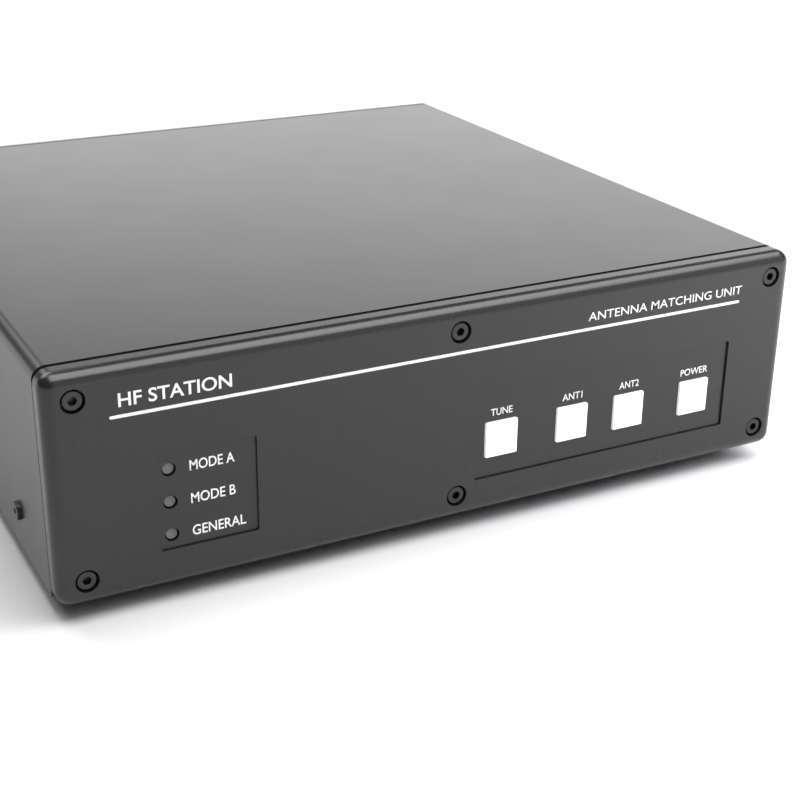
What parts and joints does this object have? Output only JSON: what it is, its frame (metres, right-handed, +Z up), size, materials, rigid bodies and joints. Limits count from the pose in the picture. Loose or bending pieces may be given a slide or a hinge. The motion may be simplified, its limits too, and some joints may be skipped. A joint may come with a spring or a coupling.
{
  "type": "antenna tuner",
  "caption": "Flat metal-cased automatic antenna tuner: thick rounded front panel, square push buttons, indicator windows, rear coaxial sockets and earth terminal.",
  "frame": {"origin": "middle of the footprint, on the surface that the feet stand on", "axes": "+Z up, the front panel faces -Y, +X to the right as seen from the front"},
  "size_m": [0.3124, 0.332, 0.0931],
  "materials": {
    "panel": "satin black, fine texture",
    "cover": "satin black powder coat",
    "chassis": "black powder coat",
    "black_screws": "black oxide",
    "zinc_screws": "zinc plated",
    "rubber": "matte",
    "button_lens": "white translucent",
    "black_plastic": "moulded",
    "window": "smoked grey",
    "led": "clear",
    "spring_steel": "bright",
    "circuit_board": "solder resist",
    "chip": "moulded",
    "relay_case": "moulded",
    "capacitor_can": "printed sleeve",
    "ceramic": "dipped",
    "ferrite": "coated",
    "dark_ferrite": "bare",
    "copper": "enamelled wire",
    "cable": "insulation",
    "nylon": "natural",
    "nickel": "nickel plated",
    "insulator": "white",
    "gold_contact": "plated",
    "brass": "bright",
    "heat_sink": "black anodised"
  },
  "bodies": {
    "root": {"front_panel": "panel", "top_cover": "cover", "bottom_chassis": "chassis", "rear_panel": "cover", "rubber_feet": "rubber", "foot_screws": "zinc_screws", "front_panel_screws": "black_screws", "rear_panel_screws": "black_screws", "cover_screws": "black_screws", "tune_spring": "spring_steel", "antenna_1_spring": "spring_steel", "antenna_2_spring": "spring_steel", "power_spring": "spring_steel", "switch_bodies": "black_plastic", "indicator_windows": "window", "indicator_leds": "led", "front_board": "circuit_board", "front_board_spacers": "zinc_screws", "front_board_screws": "zinc_screws", "front_board_chips": "chip", "front_header": "black_plastic", "main_header": "black_plastic", "ribbon_plugs": "black_plastic", "ribbon_cable": "cable", "main_board": "circuit_board", "main_board_spacers": "brass", "main_board_screws": "zinc_screws", "relay_drivers": "chip", "filter_capacitors": "capacitor_can", "heat_sink": "heat_sink", "voltage_regulator": "chip", "network_relays": "relay_case", "antenna_relays": "relay_case", "rf_capacitors": "ceramic", "toroid_cores": "ferrite", "toroid_windings": "copper", "air_coils": "copper", "coil_supports": "nylon", "swr_board": "circuit_board", "swr_cores": "dark_ferrite", "socket_shells": "nickel", "socket_insulators": "insulator", "socket_contacts": "gold_contact", "socket_screws": "zinc_screws", "socket_nuts": "zinc_screws", "rf_wires": "copper", "supply_wires": "cable", "ground_stud": "brass", "ground_nut": "brass", "dc_inlet_body": "black_plastic", "dc_inlet_nut": "nickel", "dc_inlet_pin": "nickel", "control_socket": "black_plastic"},
    "tune_button": {"tune_button": "button_lens"},
    "antenna_1_button": {"antenna_1_button": "button_lens"},
    "antenna_2_button": {"antenna_2_button": "button_lens"},
    "power_button": {"power_button": "button_lens"},
    "ground_washer": {"ground_washer": "nickel"},
    "wing_nut": {"wing_nut": "brass"}
  },
  "joints": [
    {"name": "tune_press", "type": "slide", "parent": "root", "child": "tune_button", "axis": [0, 1, 0], "range_m": [0, 0.0013], "stiffness_N_per_m": 900, "springref_m": -0.0008, "deforming": ["tune_spring"]},
    {"name": "antenna_1_press", "type": "slide", "parent": "root", "child": "antenna_1_button", "axis": [0, 1, 0], "range_m": [0, 0.0013], "stiffness_N_per_m": 900, "springref_m": -0.0008, "deforming": ["antenna_1_spring"]},
    {"name": "antenna_2_press", "type": "slide", "parent": "root", "child": "antenna_2_button", "axis": [0, 1, 0], "range_m": [0, 0.0013], "stiffness_N_per_m": 900, "springref_m": -0.0008, "deforming": ["antenna_2_spring"]},
    {"name": "power_press", "type": "slide", "parent": "root", "child": "power_button", "axis": [0, 1, 0], "range_m": [0, 0.0013], "stiffness_N_per_m": 900, "springref_m": -0.0008, "deforming": ["power_spring"]},
    {"name": "washer_slide", "type": "slide", "parent": "root", "child": "ground_washer", "axis": [0, 1, 0], "range_m": [0, 0.002]},
    {"name": "wing_nut_turn", "type": "hinge", "parent": "ground_washer", "child": "wing_nut", "pos_m": [0.052, 0.154, 0.04], "axis": [0, 1, 0], "range_deg": [0, 725]}
  ],
  "couplings": [
    {"joint": "wing_nut_turn", "follows": "washer_slide", "rad_per_m": 6283.2}
  ]
}
